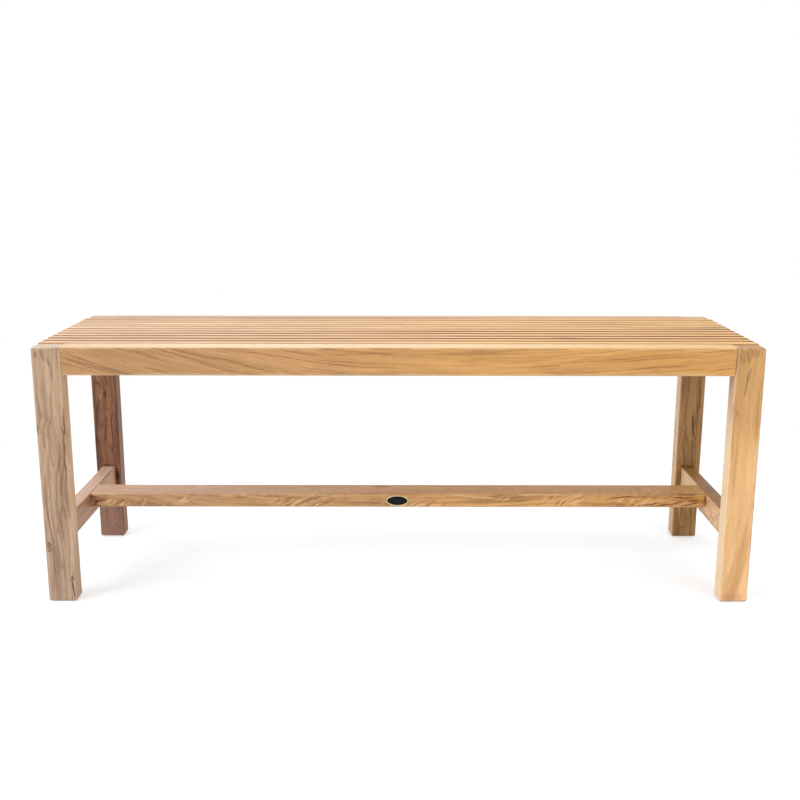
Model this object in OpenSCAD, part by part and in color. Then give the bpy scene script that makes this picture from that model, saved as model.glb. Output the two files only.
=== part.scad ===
// Slatted teak shower bench. Four legs and two long rails of the same stock frame
// the seat, cross rails under it carry the slats, and an H of stretchers ties the
// legs together near the floor. Every joint is a mortise and tenon.
// X runs along the bench, the front faces -Y, and the floor is Z = 0.

/* [Bench] */
// Length of the bench over its legs
bench_l = 1200; // [900:5:1500]
// Depth of the bench, front to back
bench_d = 356; // [330:1:440]
// Height of the seat above the floor
bench_h = 445; // [380:1:520]

/* [Legs and long rails] */
// Width of a leg along the bench
leg_w = 48; // [40:1:70]
// Thickness of the legs and long rails, front to back
frame_t = 32; // [28:1:42]
// Height of a long rail
rail_h = 48; // [44:1:70]

/* [Slats] */
// Number of slats between the long rails
slat_count = 11; // [8:1:12]
// Width of a slat
slat_w = 20; // [14:0.5:22]
// Thickness of a slat
slat_t = 20; // [16:0.5:23]
// Width of a cross rail under the slats
cross_rail_w = 26; // [20:1:38]

/* [Stretchers] */
// Height of the stretchers' top faces above the floor
stretcher_top = 147; // [90:1:260]
// Thickness of an end stretcher
end_stretcher_t = 26; // [22:1:36]
// Height of an end stretcher
end_stretcher_h = 45; // [34:1:70]
// Width of the long stretcher, front to back
long_stretcher_w = 56; // [40:1:90]
// Thickness of the long stretcher
long_stretcher_t = 26; // [24:1:32]

/* [Rounding] */
// Radius of the long arrises of legs, rails and stretchers
arris_r = 3; // [1:0.25:5]
// Radius around the top and foot of a leg, but for the top edge against a long rail
leg_end_r = 7; // [1:0.25:8]
// Radius around an end that butts against another piece
butt_r = 1.5; // [0.5:0.25:2.5]
// Radius of a slat's arrises
slat_r = 1.75; // [0.5:0.25:3]

/* [Joints] */
// Thickness of every tenon
tenon_t = 12; // [8:0.5:14]
// Length of a long rail's tenon
rail_tenon_l = 30; // [20:1:34]
// Length of a cross rail's tenon
cross_tenon_l = 18; // [12:1:22]
// Height of a cross rail's tenon
cross_tenon_h = 14; // [8:0.5:15]
// Length of an end stretcher's tenon
end_tenon_l = 22; // [14:1:24]
// Length of the long stretcher's tenon
long_tenon_l = 18; // [12:1:19]
// Shoulder beside a tenon, where it is narrower than its piece
tenon_shoulder = 8; // [5:0.5:11]
// Wood left under a cross rail's tenon
cross_shoulder = 4; // [2:0.5:5]
// Wood left in a leg between its two upper mortises
mortise_web = 4; // [2:0.5:6]
// Wood left over a long rail's tenon at the top of the leg
mortise_cover = 8; // [5:0.5:10]
// Gap around a tenon in its mortise
tenon_gap = 0.2; // [0.05:0.05:0.5]
// Room for glue past the end of a tenon
glue_gap = 1; // [0.5:0.25:2]

/* [Pegs and screws] */
// Diameter of a peg
peg_d = 6; // [4:0.5:7]
// Wood left past the blind end of a peg
peg_cover = 6; // [3:0.5:9]
// Distance between the two pegs at one end of the long stretcher
peg_pitch = 24; // [14:1:26]
// Gap around a peg
peg_gap = 0.1; // [0.05:0.05:0.3]
// Diameter of a slat screw
screw_d = 4; // [3:0.25:5]
// Length of a slat screw under its head
screw_l = 30; // [26:1:34]
// How far a slat screw bites into its slat
screw_bite = 12; // [9:0.5:14]
// Length of a slat screw's point
screw_point = 4; // [2:0.5:6]
// Diameter of a slat screw's head
screw_head_d = 8; // [6:0.5:10]
// Height of a slat screw's head
screw_head_h = 2.5; // [1.5:0.25:4]
// Width of the square socket in a slat screw's head
screw_socket_w = 2.6; // [1.5:0.1:3.5]
// Gap around a slat screw and its head
screw_gap = 0.15; // [0.05:0.05:0.4]

/* [Badge] */
// Width of the blank oval badge
badge_w = 40; // [20:1:70]
// Height of the badge
badge_h = 19.5; // [8:0.5:20]
// Thickness of the badge
badge_t = 1.5; // [1:0.25:3]
// Width of the badge's raised rim
badge_rim = 1.3; // [0.6:0.1:2.5]
// Depth of the recess inside the rim
badge_recess = 0.6; // [0.3:0.1:0.8]
// Place of the badge along the bench
badge_x = -2; // [-300:1:300]

/* [Hidden] */
$fn = 48;
badge_points = 48; // corners of the badge's ellipse

// Half sizes, and the faces that pieces meet at
half_l = bench_l / 2;
half_d = bench_d / 2;
seat_bottom = bench_h - slat_t;
rail_bottom = bench_h - rail_h;
inner_y = half_d - frame_t; // inner faces of the legs and long rails
leg_inner_x = half_l - leg_w;
leg_x = half_l - leg_w / 2; // middle of a leg, and of the pieces between two legs
leg_y = half_d - frame_t / 2;

// Slats share the depth between the long rails, with equal gaps
slat_gap = (2 * inner_y - slat_count * slat_w) / (slat_count + 1);
slat_pitch = slat_w + slat_gap;
function slat_y(i) = -inner_y - slat_w / 2 + i * slat_pitch;
function slat_name(i) = str("slat_", i < 10 ? "0" : "", i);

// Cross rails lie under the slats at even steps, the outer two between the legs
CROSS_RAILS = ["end_rail_left", "cross_rail_left", "cross_rail_right", "end_rail_right"];
cross_rail_h = rail_h - slat_t;
cross_rail_step = 2 * leg_x / (len(CROSS_RAILS) - 1);
function cross_rail_x(i) = -leg_x + i * cross_rail_step;

// Tenons
cross_tenon_z = rail_bottom + cross_shoulder + cross_tenon_h / 2;
rail_tenon_bottom = rail_bottom + cross_shoulder + cross_tenon_h + mortise_web;
rail_tenon_h = bench_h - mortise_cover - rail_tenon_bottom;
rail_tenon_z = rail_tenon_bottom + rail_tenon_h / 2;
end_stretcher_z = stretcher_top - end_stretcher_h / 2;
long_stretcher_z = stretcher_top - long_stretcher_t / 2;
stretcher_inner_x = leg_x - end_stretcher_t / 2;
end_tenon_h = end_stretcher_h - 2 * tenon_shoulder;
long_tenon_w = long_stretcher_w - 2 * tenon_shoulder;
tenon_root = 5; // how far a tenon is let into its own piece, to be one with it

// Pegs and screws
peg_r = peg_d / 2;
peg_tip = 0.8; // bevel on a peg's leading end
rail_peg_x = leg_inner_x + rail_tenon_l / 2;
rail_peg_l = frame_t - peg_cover;
stretcher_peg_x = stretcher_inner_x + long_tenon_l / 2;
stretcher_peg_l = end_stretcher_h - peg_cover;
screw_r = screw_d / 2;
screw_head_r = screw_head_d / 2;
screw_tip_r = 0.3;
screw_socket_depth = screw_head_h / 2;
screw_seat_z = seat_bottom + screw_bite - screw_l; // where a screw's head bears
pilot_depth = screw_bite + glue_gap;
cut = 1; // how far a cutting shape stands out of the face it cuts

// Teak as it lies in each place, and the badge's finishes
teak_grey = "#c3a68a";
teak_umber = "#8d6a55";
teak_gold = "#d2a26a";
teak_olive = "#a98458";
teak_tan = "#cb9a62";
teak_cream = "#ecca9f";
teak_rose = "#dcb391";
teak_pink = "#c99f7e";
stainless = "#c3c5c8";
badge_metal = "#cdb98a";
badge_black = "#1b1a19";

// One radius for each corner of a rectangle, where only one may be given for all
function corner_radii(r) = is_list(r) ? r : [r, r, r, r];

// A rectangle with rounded corners, about the origin; r is one radius, or a list of
// them for the corners (+, +), (-, +), (-, -) and (+, -)
module rounded_rect(w, h, r) {
    c = corner_radii(r);
    polygon([
        [w / 2, h / 2 - c[0]], [w / 2 - c[0], h / 2],
        [-w / 2 + c[1], h / 2], [-w / 2, h / 2 - c[1]],
        [-w / 2, -h / 2 + c[2]], [-w / 2 + c[2], -h / 2],
        [w / 2 - c[3], -h / 2], [w / 2, -h / 2 + c[3]]
    ]);
    translate([w / 2 - c[0], h / 2 - c[0]]) circle(c[0]);
    translate([-w / 2 + c[1], h / 2 - c[1]]) circle(c[1]);
    translate([-w / 2 + c[2], -h / 2 + c[2]]) circle(c[2]);
    translate([w / 2 - c[3], -h / 2 + c[3]]) circle(c[3]);
}

// A board about the origin; radii holds the rounding of its edges along X, Y and Z,
// each as rounded_rect takes it
module eased_board(size, radii) {
    intersection() {
        rotate([90, 0, 90])
            linear_extrude(size.x, center = true) rounded_rect(size.y, size.z, radii.x);
        rotate([90, 0, 0])
            linear_extrude(size.y, center = true) rounded_rect(size.x, size.z, radii.y);
        linear_extrude(size.z, center = true) rounded_rect(size.x, size.y, radii.z);
    }
}

// The box that a tenon of the given size needs as its mortise: a gap all round
// it, and more past its end, along the axis that is 1 in end_axis
module mortise(size, end_axis) {
    cube([for (i = [0:2]) size[i] + 2 * (end_axis[i] == 1 ? glue_gap : tenon_gap)], center = true);
}

// Turns the piece made for the back right corner to the corner (sx, sy)
module at_corner(sx, sy) {
    mirror([sx < 0 ? 1 : 0, 0, 0])
        mirror([0, sy < 0 ? 1 : 0, 0]) children();
}

// A peg with its blind end up, from the origin
module peg(l) {
    cylinder(h = l - peg_tip, r = peg_r);
    translate([0, 0, l - peg_tip]) cylinder(h = peg_tip, r1 = peg_r, r2 = peg_r - peg_tip);
}

// The hole for such a peg, open at the origin
module peg_hole(l) {
    translate([0, 0, -cut]) cylinder(h = l + cut + peg_gap, r = peg_r + peg_gap);
}

// The peg and its hole lie along Y in the leg, from the leg's hidden inner face
module place_rail_peg() {
    translate([rail_peg_x, inner_y, rail_tenon_z]) rotate([-90, 0, 0]) children();
}

// The pegs of the long stretcher rise from under the end stretcher
module place_stretcher_pegs() {
    for (y = [-1, 1])
        translate([stretcher_peg_x, y * peg_pitch / 2, stretcher_top - end_stretcher_h]) children();
}

module leg(sx, sy) {
    ends = [leg_end_r, butt_r, leg_end_r, leg_end_r];
    at_corner(sx, sy) difference() {
        translate([leg_x, leg_y, bench_h / 2])
            eased_board([leg_w, frame_t, bench_h], [leg_end_r, ends, arris_r]);
        translate([leg_inner_x + rail_tenon_l / 2, leg_y, rail_tenon_z])
            mortise([rail_tenon_l, tenon_t, rail_tenon_h], [1, 0, 0]);
        translate([leg_x, inner_y + cross_tenon_l / 2, cross_tenon_z])
            mortise([tenon_t, cross_tenon_l, cross_tenon_h], [0, 1, 0]);
        translate([leg_x, inner_y + end_tenon_l / 2, end_stretcher_z])
            mortise([tenon_t, end_tenon_l, end_tenon_h], [0, 1, 0]);
        place_rail_peg() peg_hole(rail_peg_l);
    }
}

module long_rail(sy) {
    at_corner(1, sy) difference() {
        union() {
            translate([0, leg_y, bench_h - rail_h / 2])
                eased_board([2 * leg_inner_x, frame_t, rail_h], [arris_r, butt_r, butt_r]);
            for (x = [-1, 1])
                translate([x * (leg_inner_x + (rail_tenon_l - tenon_root) / 2), leg_y, rail_tenon_z])
                    cube([rail_tenon_l + tenon_root, tenon_t, rail_tenon_h], center = true);
        }
        for (i = [1:len(CROSS_RAILS) - 2])
            translate([cross_rail_x(i), inner_y + cross_tenon_l / 2, cross_tenon_z])
                mortise([tenon_t, cross_tenon_l, cross_tenon_h], [0, 1, 0]);
        for (x = [-1, 1])
            at_corner(x, 1) place_rail_peg() peg_hole(rail_peg_l);
    }
}

// The stepped hole for one slat screw, from under the cross rail
module screw_hole() {
    translate([0, 0, rail_bottom - cut])
        cylinder(h = screw_seat_z - rail_bottom + cut, r = screw_head_r + screw_gap);
    translate([0, 0, rail_bottom - cut])
        cylinder(h = cross_rail_h + 2 * cut, r = screw_r + screw_gap);
}

module cross_rail(i) {
    translate([cross_rail_x(i), 0, 0]) difference() {
        union() {
            translate([0, 0, rail_bottom + cross_rail_h / 2])
                eased_board([cross_rail_w, 2 * inner_y, cross_rail_h], [butt_r, butt_r, butt_r]);
            translate([0, 0, cross_tenon_z])
                cube([tenon_t, 2 * (inner_y + cross_tenon_l), cross_tenon_h], center = true);
        }
        for (s = [1:slat_count])
            translate([0, slat_y(s), 0]) screw_hole();
    }
}

module slat(i) {
    difference() {
        translate([0, slat_y(i), bench_h - slat_t / 2])
            eased_board([bench_l, slat_w, slat_t], [slat_r, slat_r, slat_r]);
        for (c = [0:len(CROSS_RAILS) - 1])
            translate([cross_rail_x(c), slat_y(i), seat_bottom - cut])
                cylinder(h = pilot_depth + cut, r = screw_r + screw_gap);
    }
}

module end_stretcher(sx) {
    at_corner(sx, 1) difference() {
        union() {
            translate([leg_x, 0, end_stretcher_z])
                eased_board([end_stretcher_t, 2 * inner_y, end_stretcher_h], [butt_r, arris_r, butt_r]);
            translate([leg_x, 0, end_stretcher_z])
                cube([tenon_t, 2 * (inner_y + end_tenon_l), end_tenon_h], center = true);
        }
        translate([stretcher_inner_x + long_tenon_l / 2, 0, long_stretcher_z])
            mortise([long_tenon_l, long_tenon_w, tenon_t], [1, 0, 0]);
        place_stretcher_pegs() peg_hole(stretcher_peg_l);
    }
}

module long_stretcher() {
    difference() {
        translate([0, 0, long_stretcher_z]) union() {
            eased_board([2 * stretcher_inner_x, long_stretcher_w, long_stretcher_t],
                        [arris_r, butt_r, butt_r]);
            cube([2 * (stretcher_inner_x + long_tenon_l), long_tenon_w, tenon_t], center = true);
        }
        for (x = [-1, 1])
            at_corner(x, 1) place_stretcher_pegs() peg_hole(stretcher_peg_l);
    }
}

module rail_pegs() {
    for (x = [-1, 1], y = [-1, 1])
        at_corner(x, y) place_rail_peg() peg(rail_peg_l);
}

module stretcher_pegs() {
    for (x = [-1, 1])
        at_corner(x, 1) place_stretcher_pegs() peg(stretcher_peg_l);
}

// A screw pointing up, with the underside of its head at the origin
module screw() {
    cylinder(h = screw_l - screw_point, r = screw_r);
    translate([0, 0, screw_l - screw_point])
        cylinder(h = screw_point, r1 = screw_r, r2 = screw_tip_r);
    difference() {
        translate([0, 0, -screw_head_h]) cylinder(h = screw_head_h, r = screw_head_r);
        translate([0, 0, -screw_head_h])
            cube([screw_socket_w, screw_socket_w, 2 * screw_socket_depth], center = true);
    }
}

module slat_screws() {
    for (c = [0:len(CROSS_RAILS) - 1], s = [1:slat_count])
        translate([cross_rail_x(c), slat_y(s), screw_seat_z]) screw();
}

// An ellipse of the badge's size, drawn in from its edge
module badge_outline(inset) {
    polygon([for (k = [0:badge_points - 1])
        let (a = 360 * k / badge_points)
            [(badge_w / 2 - inset) * cos(a), (badge_h / 2 - inset) * sin(a)]]);
}

// Places a plate on the front face of the long stretcher, its back at depth 0
module on_stretcher_front() {
    translate([badge_x, -long_stretcher_w / 2, long_stretcher_z]) rotate([90, 0, 0]) children();
}

module badge_plate() {
    on_stretcher_front() difference() {
        linear_extrude(badge_t) badge_outline(0);
        translate([0, 0, badge_t - badge_recess])
            linear_extrude(badge_recess + cut) badge_outline(badge_rim);
    }
}

module badge_enamel() {
    on_stretcher_front()
        translate([0, 0, badge_t - badge_recess])
            linear_extrude(badge_recess / 2) badge_outline(badge_rim);
}

color(teak_grey) leg(-1, -1);  // leg_front_left
color(teak_gold) leg(1, -1);  // leg_front_right
color(teak_umber) leg(-1, 1);  // leg_back_left
color(teak_olive) leg(1, 1);  // leg_back_right
color(teak_tan) long_rail(-1);  // rail_front
color(teak_cream) long_rail(1);  // rail_back
for (i = [0:len(CROSS_RAILS) - 1])
    color(teak_tan) cross_rail(i);
for (i = [1:slat_count])
    color(i % 3 == 2 ? teak_rose : teak_cream) slat(i);
color(teak_pink) end_stretcher(-1);  // end_stretcher_left
color(teak_olive) end_stretcher(1);  // end_stretcher_right
color(teak_pink) long_stretcher();
color(teak_gold) rail_pegs();
color(teak_gold) stretcher_pegs();
color(stainless) slat_screws();
color(badge_metal) badge_plate();
color(badge_black) badge_enamel();
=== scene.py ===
"""The looks of a slatted teak shower bench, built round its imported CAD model.

Lengths are metres in the CAD frame: the origin is on the floor under the middle of the seat, +X runs along
the seat, -Y faces the front and +Z is up. What is grown, stained, drawn or cut on one timber is placed in
millimetres from the middle of that timber. Every timber is cut from one solid teak grain, so the rings that
run along its sides come out as arcs on its ends.
"""

import math
import random

import bmesh
import bpy
from mathutils import Euler, Matrix, Vector


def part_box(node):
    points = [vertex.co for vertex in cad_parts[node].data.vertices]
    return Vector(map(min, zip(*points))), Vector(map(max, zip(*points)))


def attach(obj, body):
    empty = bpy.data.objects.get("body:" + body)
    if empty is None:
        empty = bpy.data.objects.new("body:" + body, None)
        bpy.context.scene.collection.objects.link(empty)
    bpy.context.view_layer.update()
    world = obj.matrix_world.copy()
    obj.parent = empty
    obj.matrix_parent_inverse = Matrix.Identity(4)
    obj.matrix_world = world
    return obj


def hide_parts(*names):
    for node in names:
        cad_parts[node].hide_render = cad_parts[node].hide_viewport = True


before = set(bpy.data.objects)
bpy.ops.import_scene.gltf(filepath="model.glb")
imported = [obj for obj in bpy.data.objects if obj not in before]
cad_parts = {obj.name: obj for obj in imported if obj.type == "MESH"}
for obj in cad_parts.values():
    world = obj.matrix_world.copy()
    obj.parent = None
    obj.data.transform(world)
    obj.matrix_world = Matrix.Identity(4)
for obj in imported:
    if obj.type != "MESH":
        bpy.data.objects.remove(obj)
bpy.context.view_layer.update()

MM = 0.001
BODY = "root"

# What the bench repeats: slats over the rails that carry them, one screw where each pair crosses.
SLATS = 11
RAILS_UNDER_SLATS = 4

# The camera, fitted to the edges of the bench in the photograph. Angles are radians and the lens is mm.
CAMERA_PLACE = (-0.0007, -1.8753, 0.7430)
CAMERA_YAW = -0.0018
CAMERA_PITCH = -0.2237
CAMERA_ROLL = 0.0018
CAMERA_LENS = 47.592
CAMERA_SENSOR = 36.0

# A board's own axes are x across its face, y through its thickness and z along its grain. These angles turn
# the CAD axes into them, for a timber whose grain runs along X, Y or Z.
TURN_TO_BOARD = {
    "X": (0.0, -math.pi / 2, 0.0),
    "Y": (math.pi / 2, 0.0, 0.0),
    "Z": (0.0, 0.0, 0.0),
}
DIRECTION = {
    "left": (-1.0, 0.0, 0.0),
    "right": (1.0, 0.0, 0.0),
    "front": (0.0, -1.0, 0.0),
    "back": (0.0, 1.0, 0.0),
    "top": (0.0, 0.0, 1.0),
}
GRAIN_DIRECTION = {"X": DIRECTION["right"], "Y": DIRECTION["back"], "Z": DIRECTION["top"]}


def paint(code):
    """The linear colour, with alpha, of a six-digit sRGB code."""
    channels = []
    for start in (0, 2, 4):
        value = int(code[start : start + 2], 16) / 255
        linear = value / 12.92 if value <= 0.04045 else ((value + 0.055) / 1.055) ** 2.4
        channels.append(linear)
    return (*channels, 1.0)


def tone(tint):
    """The linear colour of an sRGB code, or the tint itself where a node already makes it."""
    return paint(tint) if isinstance(tint, str) else tint


def metres(lengths):
    """Lengths in millimetres as metres."""
    return tuple(length * MM for length in lengths)


def middle(node):
    """The middle of a CAD node's box."""
    low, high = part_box(node)
    return (low + high) / 2


# ------------------------------------------------------------------------------------ wiring node trees
class Wiring:
    """Short calls that add the nodes of one tree and join them."""

    def __init__(self, tree):
        self.tree = tree

    def plug(self, value, socket):
        if isinstance(value, bpy.types.NodeSocket):
            self.tree.links.new(value, socket)
        else:
            socket.default_value = value

    def add(self, kind, inputs=None, **settings):
        node = self.tree.nodes.new(kind)
        for name, value in settings.items():
            setattr(node, name, value)
        for key, value in (inputs or {}).items():
            self.plug(value, node.inputs[key])
        return node

    def out(self, kind, inputs=None, **settings):
        """The first output of a new node."""
        return self.add(kind, inputs, **settings).outputs[0]

    def coordinates(self, output="Object"):
        return self.add("ShaderNodeTexCoord").outputs[output]

    def carried(self, name, output="Vector"):
        """What a mesh carries with it under a name."""
        return self.add("ShaderNodeAttribute", attribute_name=name).outputs[output]

    def math(self, operation, *values, clamp=False):
        node = self.add("ShaderNodeMath", operation=operation, use_clamp=clamp)
        for value, socket in zip(values, node.inputs):
            self.plug(value, socket)
        return node.outputs[0]

    def chain(self, operation, values):
        """All the values, joined by one operation from left to right."""
        total = values[0]
        for value in values[1:]:
            total = self.math(operation, total, value)
        return total

    def plus(self, *values):
        return self.chain("ADD", values)

    def minus(self, *values):
        return self.chain("SUBTRACT", values)

    def times(self, *values):
        return self.chain("MULTIPLY", values)

    def lowest(self, *values):
        return self.chain("MINIMUM", values)

    def highest(self, *values):
        return self.chain("MAXIMUM", values)

    def vector(self, operation, *values):
        node = self.add("ShaderNodeVectorMath", operation=operation)
        for value, socket in zip(values, node.inputs):
            self.plug(value, socket)
        return node.outputs["Value" if operation in ("LENGTH", "DOT_PRODUCT") else "Vector"]

    def scaled(self, vector, factor):
        inputs = {"Vector": vector, "Scale": factor}
        return self.add("ShaderNodeVectorMath", inputs, operation="SCALE").outputs["Vector"]

    def join(self, x=0.0, y=0.0, z=0.0):
        return self.out("ShaderNodeCombineXYZ", {"X": x, "Y": y, "Z": z})

    def split(self, vector):
        return self.add("ShaderNodeSeparateXYZ", {"Vector": vector}).outputs

    def ramp(self, value, low, high, out_low=0.0, out_high=1.0, soft=True):
        """out_low to out_high while value goes from low to high, held at both ends."""
        kind = "SMOOTHSTEP" if soft else "LINEAR"
        node = self.add("ShaderNodeMapRange", interpolation_type=kind)
        for setting, socket in zip((value, low, high, out_low, out_high), node.inputs):
            self.plug(setting, socket)
        return node.outputs["Result"]

    def curve(self, value, points):
        """A smooth curve of the value through points, which go from 0 to 1 both ways."""
        node = self.add("ShaderNodeFloatCurve", {"Value": value})
        line = node.mapping.curves[0]
        line.points[0].location = points[0]
        line.points[1].location = points[-1]
        for x, y in points[1:-1]:
            line.points.new(x, y)
        node.mapping.update()
        return node.outputs["Value"]

    def mix(self, factor, first, second, blend="MIX"):
        """Colours first and second, mixed by factor."""
        node = self.add("ShaderNodeMix", data_type="RGBA", blend_type=blend)
        for value, place in ((factor, 0), (first, 6), (second, 7)):
            self.plug(value, node.inputs[place])
        return node.outputs[2]

    def either(self, factor, first, second):
        """Shaders first and second, mixed by factor."""
        return self.out("ShaderNodeMixShader", {0: factor, 1: first, 2: second})

    def noise(self, vector, stretch, detail=2.0, output="Fac"):
        """Noise on a vector that is multiplied by stretch, in features per metre."""
        inputs = {"Vector": self.vector("MULTIPLY", vector, stretch), "Scale": 1.0, "Detail": detail}
        return self.add("ShaderNodeTexNoise", inputs).outputs[output]

    def sway(self, vector, stretch, reach, detail=2.0):
        """A vector that wanders about zero with the noise, by up to half the reach to each side."""
        wander = self.noise(vector, stretch, detail, output="Color")
        return self.scaled(self.vector("SUBTRACT", wander, (0.5, 0.5, 0.5)), reach)

    def group(self, tree, inputs):
        """One use of a shader node group, with its own values."""
        node = self.tree.nodes.new("ShaderNodeGroup")
        node.node_tree = tree
        for label, value in inputs.items():
            self.plug(value, node.inputs[label])
        return node.outputs


def bare_wiring(owner):
    """The wiring of a material or a world, whose first nodes are taken out."""
    owner.use_nodes = True
    owner.node_tree.nodes.clear()
    return Wiring(owner.node_tree)


def new_material(name):
    """A material with a bare Principled shader: the material, its wiring and the shader's inputs."""
    material = bpy.data.materials.new(name)
    w = bare_wiring(material)
    shader = w.add("ShaderNodeBsdfPrincipled")
    w.add("ShaderNodeOutputMaterial", {"Surface": shader.outputs["BSDF"]})
    return material, w, shader.inputs


def add_bump(w, shader, height, strength, depth):
    """Lets the light see a height, which is depth millimetres at 1."""
    inputs = {"Strength": strength, "Distance": depth * MM, "Height": height}
    w.plug(w.add("ShaderNodeBump", inputs).outputs["Normal"], shader["Normal"])


SOCKETS = {
    "colour": "NodeSocketColor",
    "value": "NodeSocketFloat",
    "vector": "NodeSocketVector",
    "count": "NodeSocketInt",
    "material": "NodeSocketMaterial",
    "object": "NodeSocketObject",
    "shape": "NodeSocketGeometry",
}


def new_group(name, kind, takes, gives):
    """A node group with named sockets: its wiring, what comes in and the node for what goes out."""
    tree = bpy.data.node_groups.new(name, kind)
    for label, (sort, default) in takes.items():
        socket = tree.interface.new_socket(label, in_out="INPUT", socket_type=SOCKETS[sort])
        if default is not None:
            socket.default_value = default
    for label, sort in gives.items():
        tree.interface.new_socket(label, in_out="OUTPUT", socket_type=SOCKETS[sort])
    w = Wiring(tree)
    return w, w.add("NodeGroupInput").outputs, w.add("NodeGroupOutput").inputs


# ------------------------------------------------------------------------- effects that the teak shares
def teak_grain_group():
    """Solid teak in board axes: growth rings round a wandering pith, streaks, veins, fibres and pores."""
    takes = {
        "Board": ("vector", None),
        "Seed": ("value", 0.0),
        "Pith": ("vector", (0.0, 0.1, 0.0)),
        "Ring gap": ("value", 0.005),
        "Sharpness": ("value", 4.0),
        "Rings": ("value", 0.5),
        "Wander": ("value", 0.01),
        "Ripple": ("value", 0.001),
        "Contrast": ("value", 0.6),
        "Vein amount": ("value", 0.4),
        "Band amount": ("value", 0.3),
        "Pale": ("colour", paint("D0A27A")),
        "Dark": ("colour", paint("A87C54")),
        "Vein": ("colour", paint("8A6240")),
        "Band": ("colour", paint("A88468")),
    }
    gives = {"Color": "colour", "Height": "value", "Rough": "value"}
    w, given, result = new_group("teak_grain", "ShaderNodeTree", takes, gives)
    seed_step = (3.17, 5.73, 1.91)
    planted = w.vector("ADD", given["Board"], w.scaled(seed_step, given["Seed"]))

    # The pith wanders along the tree and carries every ring with it, and short waves curl the grain.
    wander = w.sway(planted, (9.0, 9.0, 4.5), given["Wander"], detail=2.5)
    ripple = w.sway(planted, (34.0, 34.0, 24.0), given["Ripple"], detail=1.0)
    drift = w.vector("ADD", wander, ripple)
    grown = w.vector("SUBTRACT", w.vector("ADD", given["Board"], drift), given["Pith"])
    radius = w.vector("LENGTH", w.vector("MULTIPLY", grown, (1.0, 1.0, 0.0)))

    # A ring darkens slowly to its late line, and no two are alike.
    wobble = w.times(w.noise(planted, (60.0, 60.0, 5.0)), 1.8)
    phase = w.plus(w.math("DIVIDE", radius, given["Ring gap"]), wobble)
    share = w.math("FRACT", phase)
    late = w.times(w.math("POWER", share, given["Sharpness"]), w.ramp(share, 0.92, 1.0, 1.0, 0.0))
    year = w.plus(w.math("FLOOR", phase), given["Seed"])
    luck = w.add("ShaderNodeTexWhiteNoise", {"W": year}, noise_dimensions="1D").outputs["Value"]
    ring = w.times(late, w.ramp(luck, 0.0, 1.0, 0.3, 1.7))

    # Bands, streaks, veins, flecks, fibres and pores follow the rings.
    carried = w.vector("ADD", planted, drift)
    band = w.ramp(w.noise(carried, (60.0, 60.0, 4.0), detail=1.5), 0.44, 0.62)
    streak = w.ramp(w.noise(carried, (150.0, 150.0, 5.0), detail=3.0), 0.40, 0.66)
    thread = w.ramp(w.noise(carried, (380.0, 380.0, 9.0)), 0.42, 0.70)
    vein = w.ramp(w.noise(carried, (70.0, 70.0, 1.6)), 0.57, 0.72)
    fleck = w.ramp(w.noise(carried, (460.0, 460.0, 34.0)), 0.60, 0.72)
    fibre = w.noise(carried, (900.0, 900.0, 16.0))
    pore = w.ramp(w.noise(carried, (1500.0, 1500.0, 42.0)), 0.60, 0.72)
    cloud = w.noise(planted, (14.0, 14.0, 5.0))
    boldness = w.ramp(w.noise(planted, (32.0, 32.0, 8.0)), 0.36, 0.64, 0.55, 1.25)

    depth = w.plus(w.times(ring, given["Rings"]), w.times(streak, 0.5), w.times(thread, 0.4))
    depth = w.math("MULTIPLY", depth, w.times(boldness, given["Contrast"]), clamp=True)
    colour = w.mix(w.times(band, given["Band amount"]), given["Pale"], given["Band"])
    colour = w.mix(depth, colour, given["Dark"])
    darker = w.highest(vein, w.times(fleck, 0.6))
    colour = w.mix(w.times(darker, given["Vein amount"]), colour, given["Vein"])
    light = w.ramp(cloud, 0.25, 0.75, 0.91, 1.07)
    light = w.times(light, w.ramp(fibre, 0.25, 0.75, 0.93, 1.06), w.ramp(pore, 0.0, 1.0, 1.0, 0.80))

    w.plug(w.scaled(colour, light), result["Color"])
    w.plug(w.minus(fibre, w.times(pore, 0.8), w.times(ring, 0.35)), result["Height"])
    w.plug(w.plus(w.times(fibre, 0.6), w.times(ring, 0.3)), result["Rough"])
    return w.tree


def knot_group():
    """Grain that bulges round a small knot, and a mask of the knot's dark heart."""
    takes = {
        "Board": ("vector", None),
        "Centre": ("vector", (0.0, 0.0, 0.0)),
        "Radius": ("value", 0.01),
        "Bulge": ("value", 0.6),
    }
    w, given, result = new_group("knot", "ShaderNodeTree", takes, {"Board": "vector", "Heart": "value"})
    away = w.vector("SUBTRACT", given["Board"], given["Centre"])
    reach = w.vector("LENGTH", w.vector("MULTIPLY", away, (1.0, 0.6, 0.55)))
    reach = w.math("DIVIDE", reach, given["Radius"])
    nearness = w.math("EXPONENT", w.times(reach, reach, -1.0))
    squeeze = w.times(w.split(away)["X"], w.times(nearness, given["Bulge"]))
    w.plug(w.vector("SUBTRACT", given["Board"], w.join(squeeze)), result["Board"])
    w.plug(w.ramp(reach, 0.15, 0.55, 1.0, 0.0), result["Heart"])
    return w.tree


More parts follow.
